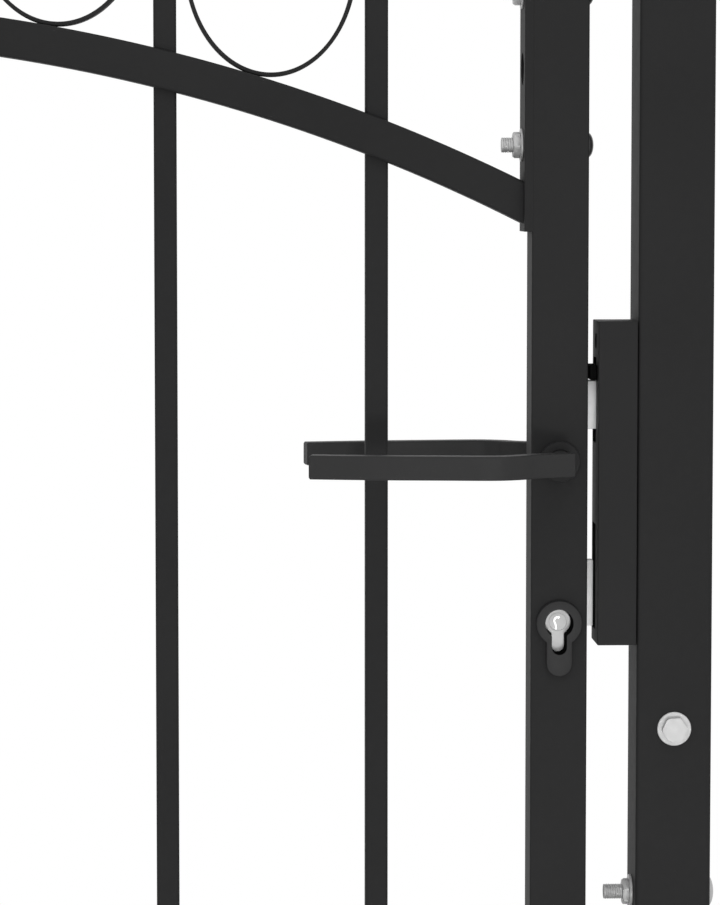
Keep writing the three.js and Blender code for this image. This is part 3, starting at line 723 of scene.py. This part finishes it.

# ---- Lock case --------------------------------------------------------------------------------------------
# A folded steel case, painted black, inside the latch stile. Its near black is darker than the coat: painted
# shade, which makes the gap round the cylinder read dark. Its forend, a bright zinc-plated strip, fills the
# slot in the stile's face, is held by a screw at each end, and has a window for each bolt.
case_low, case_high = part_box("lock_case")
case_half = 0.0088
forend_reach = 0.012
latch_stroke = 0.0160
dead_stroke = 0.0020
screw_radius = 0.0038
zinc_plate = plated("zinc_plate", 0.50, 0.46, (1, 1, 0.05))
# Near black, darker than the coat: painted shade, which makes the gap round the cylinder read dark.
case_paint_and_shade = coated("case_paint_and_shade", (0.003, 0.003, 0.003), 0.7, 0.1, 0.1)


def screw_head(seat, direction, radius, rise):
    """A dome head with a shallow cross recess pressed in it: stations sink where the angle is near a cross's
    arm and the radius is under the recess's reach."""
    shares = np.array([1, 1, 0.93, 0.8, 0.62, 0.5, 0.42, 0.3, 0.2, 0.1, 0.04])
    heights = np.array([0, 0.35, 0.62, 0.86, 0.97, 1, 1, 1, 1, 1, 1]) * rise
    grid = turned(seat, direction, np.zeros(len(shares)), radius * shares)
    angle = np.linspace(0, 2 * pi, grid.shape[1], endpoint=False)
    nearness = np.minimum(np.abs(np.sin(angle)), np.abs(np.cos(angle)))
    sunk = (nearness[None, :] * shares[:, None] < 0.11) & (shares[:, None] < 0.5)
    lift = heights[:, None] - np.where(sunk, rise * 0.8, 0)
    return grid + lift[:, :, None] * np.array(direction, dtype=float)


forend_back = case_high[0] - 0.0022
case_body = block((case_low[0], -case_half, case_low[2] + forend_reach),
                  (forend_back + 0.001, case_half, case_high[2] - forend_reach), 0.0006)
forend = block((forend_back, case_low[1], case_low[2]), case_high, 0.0004)
latch_low, latch_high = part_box("latch_bolt")
dead_low, dead_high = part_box("dead_bolt")
case = skin("lock_case_folded", [case_body], case_paint_and_shade)
strip = skin("lock_forend", [forend], zinc_plate)
windows = []
for low, high, stroke in ((latch_low, latch_high, latch_stroke), (dead_low, dead_high, dead_stroke)):
    windows.append(block((low[0] - stroke, low[1] - slide_gap, low[2] - slide_gap),
                         (case_high[0] + 0.002, high[1] + slide_gap, high[2] + slide_gap), 0.0003))
cut_away(strip, windows)
cylinder_hole = np.stack([keyhole_loop(cylinder_shape, y, slide_gap) for y in (-0.02, 0.02)])
spindle_hole = turned((lock_x, -0.02, handle_z), (0, 1, 0), [0, 0.04], [0.0078, 0.0078])
cut_away(case, windows + [cylinder_hole, spindle_hole])
fit(case, "leaf", "powder_coat", "lock_case")
fit(strip, "leaf", "zinc_plate")
for row, z in enumerate((case_low[2] + 0.006, case_high[2] - 0.006), start=1):
    seat = (case_high[0] - 0.0003, 0, z)
    screw = skin(f"lock_forend_screw_{row}", [screw_head(seat, (1, 0, 0), screw_radius, 0.0009)], zinc)
    fit(screw, "leaf", "zinc")

# ---- Latch bolt -------------------------------------------------------------------------------------------
# A satin steel bolt with a bevel on its street side, so that it rides over the keep when the leaf closes.
# Near-white base: painted light, which brightens the bolts where they sit in shade between the stile and the
# keep.
bolt_steel = plated("bolt_steel", 0.95, 0.45, (0.06, 1, 1), 0.1)
bolt_edge = 0.0004
bevel_run = 0.0062


def eased_prism(corners, low, high, ease):
    """A plan of straight sides carried up. Each side moves inwards by the ease at both ends: a corner moves
    by ease * (n + m) / (1 + n . m), where n and m are the inward normals of its two sides. Two points stand
    for each corner, a little way along its sides, and one between them."""
    corners = np.array(corners, dtype=float)

    def inset(distance):
        side = np.roll(corners, -1, 0) - corners
        side /= np.linalg.norm(side, axis=1)[:, None]
        normal = np.stack([-side[:, 1], side[:, 0]], axis=-1)
        before = np.roll(normal, 1, 0)
        shift = (normal + before) / (1 + np.sum(normal * before, axis=1))[:, None]
        moved = corners + distance * shift
        ahead = np.roll(moved, -1, 0) - moved
        ahead *= (ease / np.linalg.norm(ahead, axis=1))[:, None]
        behind = np.roll(ahead, 1, 0)
        middle_point = moved + (ahead - behind) * 0.29
        return np.stack([moved - behind, middle_point, moved + ahead], axis=1).reshape(-1, 2)

    levels = [low, low + 0.3 * ease, low + ease, high - ease, high - 0.3 * ease, high]
    plans = [inset(distance) for distance in (ease, 0.3 * ease, 0, 0, 0.3 * ease, ease)]
    return np.stack([np.column_stack([plan, np.full(len(plan), level)])
                     for plan, level in zip(plans, levels)])


latch_plan = [(latch_low[0], latch_low[1]), (latch_high[0] - bevel_run, latch_low[1]), (latch_high[0], 0.002),
              (latch_high[0], latch_high[1]), (latch_low[0], latch_high[1])]
latch_grid = eased_prism(latch_plan, latch_low[2], latch_high[2], bolt_edge)
latch = skin("latch_bolt_casting", [latch_grid], bolt_steel)
fit(latch, "latch", "bolt_steel", "latch_bolt")

# ---- Dead bolt --------------------------------------------------------------------------------------------
# A flat steel bolt, thrown by the key. Its tail is cut away underneath, where the cylinder is in its way.
tail_level = handle_z - 0.076
tail_end = dead_low[0] + 0.014
dead_side = [(dead_low[0], tail_level), (tail_end, tail_level), (tail_end, dead_low[2]),
             (dead_high[0], dead_low[2]), (dead_high[0], dead_high[2]), (dead_low[0], dead_high[2])]
dead_grid = eased_prism(dead_side, dead_low[1], dead_high[1], bolt_edge)[:, :, [0, 2, 1]]
dead = skin("dead_bolt_bar", [dead_grid], bolt_steel)
fit(dead, "deadbolt", "bolt_steel", "dead_bolt")

# ---- Spindle ----------------------------------------------------------------------------------------------
# An 8 mm square bar through both levers, and the round follower in the case that it turns.
spindle_low, spindle_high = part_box("spindle")
bar_profile = rounded_rectangle(0.008, 0.008, 0.0005, 3)
bar_line = [(lock_x, spindle_low[1], handle_z), (lock_x, spindle_high[1], handle_z)]
bar = carried(bar_profile, bar_line, (1, 0, 0), (0, 0, 1))
follower = turned((lock_x, -0.007, handle_z), (0, 1, 0), [0, 0.0004, 0.0136, 0.014],
                  [0.0071, 0.0075, 0.0075, 0.0071])
spindle = skin("spindle_bar", [bar, follower], bolt_steel)
fit(spindle, "handle", "bolt_steel", "spindle")

# ---- Levers -----------------------------------------------------------------------------------------------
# Two bowed levers of flat bar, coated black, one on each side of the gate. Each sits on a short round neck.
handle_coat = coated("handle_coat", (0.0145, 0.0145, 0.0147), 0.55, 0.08, 0.22)
lever_thick = 0.0096
lever_tall = lever_high[2] - lever_low[2]
neck_radius = 0.0062
grip_points = np.array([(0.4340, -0.0382), (0.4240, -0.0425), (0.4120, -0.0485), (0.4030, -0.0560),
                        (0.3910, -0.0600), (0.3640, -0.0574), (0.3300, -0.0536), (0.2973, -0.0470)])


def spline(points, steps):
    """A curve through all the points. On the stretch from b to c, with a before and d after, and t from 0
    to 1: (2b + (c - a) t + (2a - 5b + 4c - d) t^2 + (3b - a - 3c + d) t^3) / 2. Its slope comes with it."""
    place = np.linspace(0, len(points) - 1, steps)
    start = np.minimum(place.astype(int), len(points) - 2)
    t = (place - start)[:, None]
    a, b, c, d = (points[np.clip(start + shift, 0, len(points) - 1)] for shift in (-1, 0, 1, 2))
    first, second, third = c - a, 2 * a - 5 * b + 4 * c - d, 3 * b - a - 3 * c + d
    curve = (2 * b + first * t + second * t ** 2 + third * t ** 3) / 2
    slope = (first + 2 * second * t + 3 * third * t ** 2) / 2
    return curve, slope / np.linalg.norm(slope, axis=1)[:, None]


def grip(side):
    """A rounded bar along the spline. Its first and last loops draw in to ease the ends."""
    curve, slope = spline(grip_points, 72)
    ease = 0.0007
    curve = np.vstack([curve[:1], curve[:1] + ease * slope[:1], curve[1:-1],
                       curve[-1:] - ease * slope[-1:], curve[-1:]])
    slope = np.vstack([slope[:1], slope, slope[-1:]])
    line = np.column_stack([curve[:, 0], side * curve[:, 1], np.full(len(curve), handle_z)])
    across = np.column_stack([-slope[:, 1], side * slope[:, 0], np.zeros(len(curve))])
    profile = rounded_rectangle(lever_thick, lever_tall, 0.0009, 6)
    grid = carried(profile, line, across, (0, 0, 1))
    for end in (0, -1):
        grid[end] = line[end] + (grid[end] - line[end]) * (1 - 2 * ease / lever_tall)
    return grid


for side, node in ((1, "front_lever"), (-1, "rear_lever")):
    neck = turned((lock_x, -side * 0.0160, handle_z), (0, -side, 0), [0, 0.0200, 0.0215, 0.022],
                  [neck_radius, neck_radius, neck_radius * 0.99, neck_radius * 0.95])
    lever = skin(node + "_casting", [grip(side), neck], handle_coat)
    fit(lever, "handle", "handle_coat", node)

# ---- Roses ------------------------------------------------------------------------------------------------
# Round plates on the stile that the levers' necks turn in.
rose_radius = 0.0107
rose_bore = neck_radius + slide_gap
rose_stations = [0, 0.0036, 0.0044, 0.0047, 0.0047, 0]
rose_radii = [rose_radius, rose_radius, rose_radius - 0.0003, rose_radius - 0.0010, rose_bore, rose_bore]
for side, node in ((-1, "front_rose"), (1, "rear_rose")):
    seat = (lock_x, side * stile_size / 2, handle_z)
    grid = turned(seat, (0, side, 0), rose_stations, rose_radii, 64)
    rose = skin(node + "_plate", [(grid, True)], powder_coat)
    fit(rose, "leaf", "powder_coat", node)

# ---- Escutcheons ------------------------------------------------------------------------------------------
# Keyhole-shaped plates round the cylinder, one on each side of the stile.
escutcheon_shape = (0.0120, 0.00675, 0.0280)
for side, node in ((-1, "front_escutcheon"), (1, "rear_escutcheon")):
    low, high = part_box(node)
    face, back = (low[1], -stile_size / 2) if side < 0 else (high[1], stile_size / 2)
    ease = 0.0005
    loops = [keyhole_loop(escutcheon_shape, back), keyhole_loop(escutcheon_shape, face - side * ease),
             keyhole_loop(escutcheon_shape, face - side * 0.3 * ease, -0.3 * ease),
             keyhole_loop(escutcheon_shape, face, -ease),
             keyhole_loop(cylinder_shape, face, 0.0006), keyhole_loop(cylinder_shape, back, 0.0013)]
    escutcheon = skin(node + "_plate", [(np.stack(loops), True)], handle_coat)
    fit(escutcheon, "leaf", "handle_coat", node)

# ---- Lock cylinder ----------------------------------------------------------------------------------------
# A nickel-plated profile cylinder, a circle with a leg under it, which ends inside the stile's holes.
nickel = plated("nickel", 0.66, 0.52, (1, 0.1, 1), 0.25)
cylinder_half = 0.0088
plug_radius = 0.0048
from_down, _ = ray_lengths(*cylinder_shape)


def cylinder_end(side):
    """From the middle of the body out to its face: the outline, its eased rim, and in to the plug's bore."""
    face = side * cylinder_half
    ease = 0.0003
    bore = np.stack([lock_x + plug_radius * np.sin(from_down), np.full_like(from_down, face),
                     cylinder_z - plug_radius * np.cos(from_down)], axis=-1)
    rims = [keyhole_loop(cylinder_shape, face - side * depth) for depth in (4 * ease, ease)]
    return rims + [keyhole_loop(cylinder_shape, face, -ease), bore]


loops = cylinder_end(-1)[::-1] + cylinder_end(1)
body = skin("lock_cylinder_body", [(np.stack(loops), True)], nickel)
fit(body, "leaf", "nickel", "lock_cylinder")

# ---- Cylinder plug ----------------------------------------------------------------------------------------
# The part of the cylinder that the key turns. A bright polished strip lies along the curved keyway in each
# end:
# a painted highlight, in a metal that also reflects the lamps.
# Near-white mirror metal for the keyway strip: a painted highlight, in a metal that also reflects the lamps.
highlight_nickel = plated("highlight_nickel", 1.0, 0.16, (1, 0.1, 1), 1)
rim_gap = 0.00005
rim_ease = 0.0002
plug_stations = [0, rim_ease, 2 * cylinder_half - rim_ease, 2 * cylinder_half]
plug_radii = [plug_radius - gap for gap in (rim_ease, rim_gap, rim_gap, rim_ease)]
core = turned((lock_x, -cylinder_half, cylinder_z), (0, 1, 0), plug_stations, plug_radii)
plug = skin("cylinder_plug_core", [core], nickel)
fit(plug, "key_plug", "nickel", "cylinder_plug")

highlight_points = np.array([(0.0009, 0.0027), (-0.0009, 0.0023), (-0.0019, 0.0006), (-0.0011, -0.0016),
                           (-0.0009, -0.0040)])
highlight_width = 0.0015
highlight_depth = 0.002
highlight_proud = 0.00008


def highlight_strip(side):
    """A low rounded strip along the keyway's curve, a painted highlight, which stands a hair proud of the
    plug's face.
    """
    profile = rounded_rectangle(highlight_width, highlight_depth, 0.0003, 3)
    curve, slope = spline(highlight_points, 32)
    y = side * (cylinder_half + highlight_proud - highlight_depth / 2)
    line = np.column_stack([lock_x + curve[:, 0], np.full(len(curve), y), cylinder_z + curve[:, 1]])
    across = np.column_stack([-slope[:, 1], np.zeros(len(line)), slope[:, 0]])
    return carried(profile, line, across, (0, 1, 0))


keyway_highlight = skin("cylinder_plug_keyway_highlight", [highlight_strip(side) for side in (-1, 1)], highlight_nickel)
fit(keyway_highlight, "key_plug", "nickel")

# ---- Keep -------------------------------------------------------------------------------------------------
# A moulded block screwed to the latch post, with a pocket for each bolt. The latch bolt's pocket is open at
# the rear, so that the leaf can swing away from the street.
keep_low, keep_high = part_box("keep_body")
keep_plastic = moulded_plastic("keep_plastic", (0.0056, 0.0056, 0.0058), 0.6, 0.22)
keep = skin("keep_moulding", [block(keep_low, keep_high, 0.0005)], keep_plastic)
pocket_back = 0.466
pocket_street, pocket_rear = -0.008, 0.0075
mouth = keep_low[0] - 0.002
well = (-0.005, handle_z + 0.0632)
well_radius = 0.0042
cuts = [block((mouth, pocket_street, handle_z + foot), (pocket_back, pocket_rear, handle_z + head), 0.0006)
        for foot, head in ((0.0089, 0.0545), (-0.0904, -0.0340))]
cuts += [block((mouth, 0, latch_low[2] - 0.0008), (pocket_back, 0.013, latch_high[2] + 0.0004), 0.0004),
         turned((mouth, *well), (1, 0, 0), [0, 0.018], [well_radius, well_radius])]
cut_away(keep, cuts)
fit(keep, "posts", "keep_plastic", "keep_body")

# ---- Keep bumper ------------------------------------------------------------------------------------------
# A rubber pad in the top of the latch pocket, which the stile closes against.
bumper_low, bumper_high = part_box("keep_bumper")
bumper_rubber = moulded_plastic("bumper_rubber", (0.002, 0.002, 0.002), 0.9, 0.05)
pad = block(bumper_low, (keep_low[0] - 0.0003, bumper_high[1], bumper_high[2]), 0.0006)
stem = block((bumper_low[0] + 0.002, -0.0077, bumper_low[2]), bumper_high, 0.0004)
bumper = skin("keep_bumper_pad", [pad, stem], bumper_rubber)
fit(bumper, "posts", "bumper_rubber", "keep_bumper")

# ---- Keep screws ------------------------------------------------------------------------------------------
# Two zinc-plated screws hold the keep to the post, one in its well and one in the dead bolt's pocket.
for row, (y, z) in enumerate((well, (-0.002, handle_z - 0.044)), start=1):
    head = screw_head((pocket_back, y, z), (-1, 0, 0), screw_radius, 0.0022)
    screw = skin(f"keep_screw_{row}", [head], zinc)
    fit(screw, "posts", "zinc")
